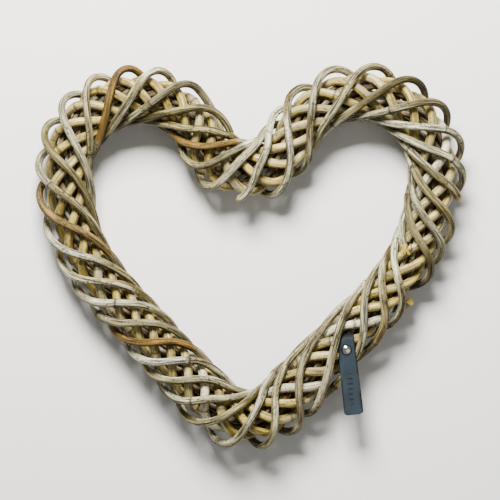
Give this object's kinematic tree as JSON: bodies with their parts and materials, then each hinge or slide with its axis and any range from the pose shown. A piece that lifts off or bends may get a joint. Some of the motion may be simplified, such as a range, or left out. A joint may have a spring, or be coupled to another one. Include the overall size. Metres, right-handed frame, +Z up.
{
  "type": "rattan heart",
  "caption": "Heart-shaped ring wound from long rattan canes in three layers, lying flat, with a folded leather tag riveted over one cane.",
  "frame": {"origin": "middle of the bounding box at its lowest height, on the floor that the heart lies on", "axes": "+X to the heart's right as seen from its front, +Y from its tip towards its lobes, +Z up out of its front"},
  "size_m": [0.5003, 0.4488, 0.0672],
  "materials": {
    "outer_cane": "greyed bark, split and flecked with black",
    "middle_cane": "straw-coloured bark, satin",
    "core_cane": "brown bark, dull",
    "tag_leather": "matte slate leather",
    "rivet_metal": "polished"
  },
  "bodies": {
    "root": {"outer_cane_1": "outer_cane", "outer_cane_2": "outer_cane", "outer_cane_3": "outer_cane", "outer_cane_4": "outer_cane", "outer_cane_5": "outer_cane", "outer_cane_6": "outer_cane", "outer_cane_7": "outer_cane", "middle_cane_1": "middle_cane", "middle_cane_2": "middle_cane", "middle_cane_3": "middle_cane", "middle_cane_4": "middle_cane", "middle_cane_5": "middle_cane", "core_cane_1": "core_cane", "core_cane_2": "core_cane", "core_cane_3": "core_cane", "core_cane_4": "core_cane", "leather_tag": "tag_leather", "rivet": "rivet_metal"}
  },
  "joints": []
}
